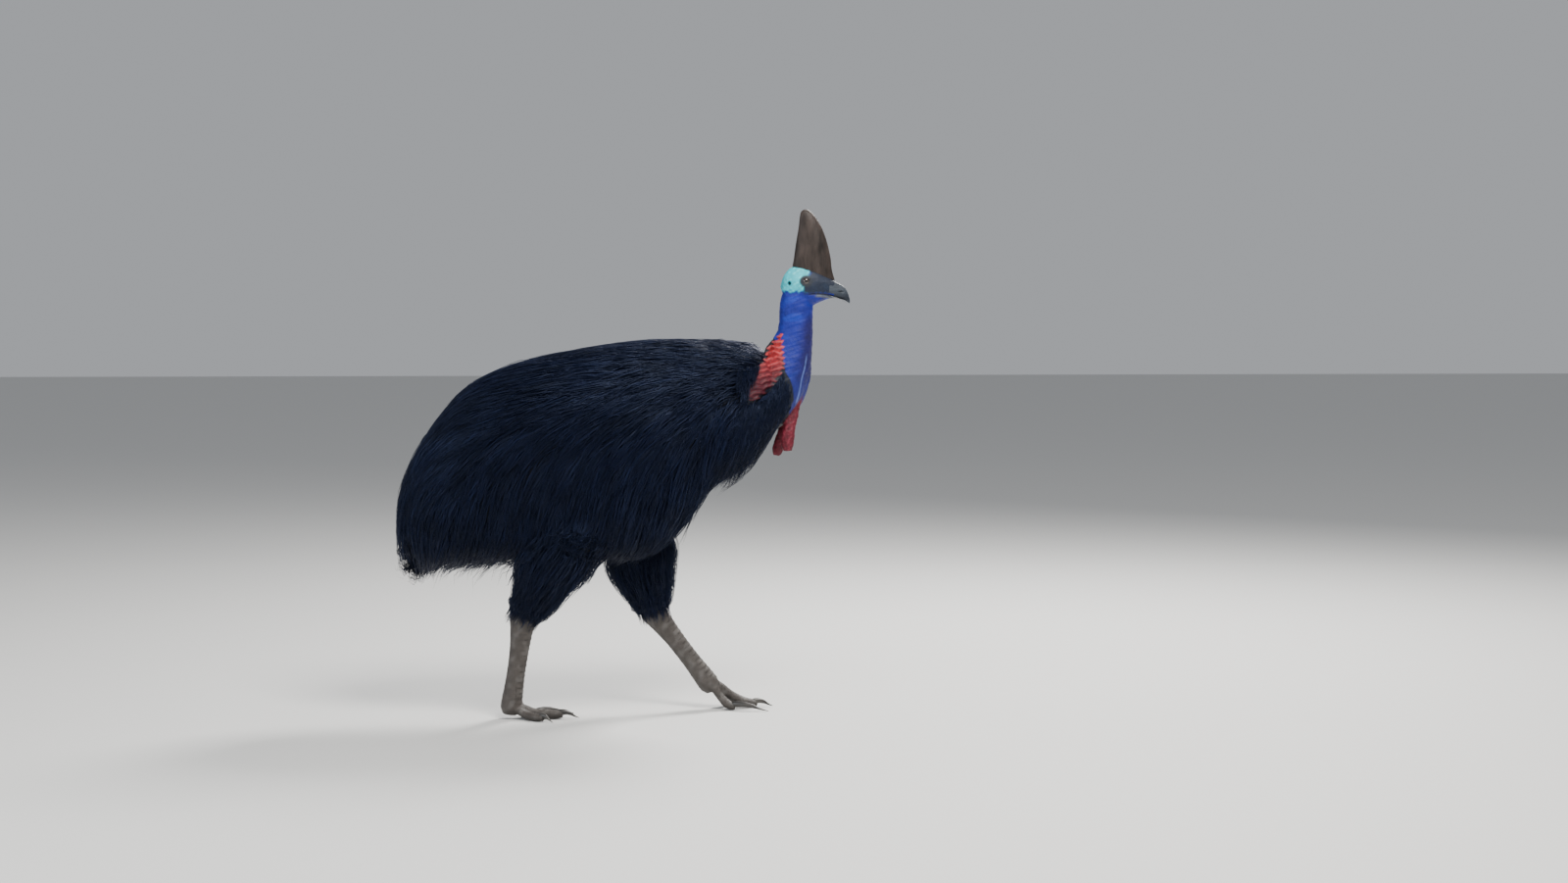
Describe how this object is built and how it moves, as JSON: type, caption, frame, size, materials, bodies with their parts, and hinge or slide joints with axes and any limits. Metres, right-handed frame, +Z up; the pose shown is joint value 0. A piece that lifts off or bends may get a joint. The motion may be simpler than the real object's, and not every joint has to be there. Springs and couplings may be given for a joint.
{
  "type": "cassowary",
  "caption": "Life-size still model of a walking southern cassowary with a tall casque, blue neck, red wattles and a long black coat.",
  "frame": {"origin": "middle of the bird's bounding box at floor level", "axes": "+X ahead, the way the bird walks and faces; +Y to its left; +Z up"},
  "size_m": [1.4294, 0.447, 1.594],
  "materials": {
    "plumage": "soft sheen, hair-like strands",
    "blue_skin": "matt, finely wrinkled",
    "pale_skin": "matt, finely wrinkled",
    "red_skin": "satin, wrinkled",
    "casque_horn": "satin horn, streaked",
    "bill_horn": "satin horn",
    "eye": "wet gloss",
    "scaly_skin": "matt scales",
    "claw_horn": "satin horn"
  },
  "bodies": {
    "root": {"torso": "plumage", "tail": "plumage", "neck_lower": "blue_skin", "neck_upper": "blue_skin", "nape_R": "red_skin", "nape_L": "red_skin", "wattle_R": "red_skin", "wattle_L": "red_skin", "head": "pale_skin", "bill_upper": "bill_horn", "bill_lower": "bill_horn", "casque": "casque_horn", "eye_R": "eye", "eye_L": "eye", "shank_R": "plumage", "tarsus_R": "scaly_skin", "toe_inner_R": "scaly_skin", "claw_inner_R": "claw_horn", "toe_middle_R": "scaly_skin", "claw_middle_R": "claw_horn", "toe_outer_R": "scaly_skin", "claw_outer_R": "claw_horn", "shank_L": "plumage", "tarsus_L": "scaly_skin", "toe_inner_L": "scaly_skin", "claw_inner_L": "claw_horn", "toe_middle_L": "scaly_skin", "claw_middle_L": "claw_horn", "toe_outer_L": "scaly_skin", "claw_outer_L": "claw_horn"}
  },
  "joints": []
}
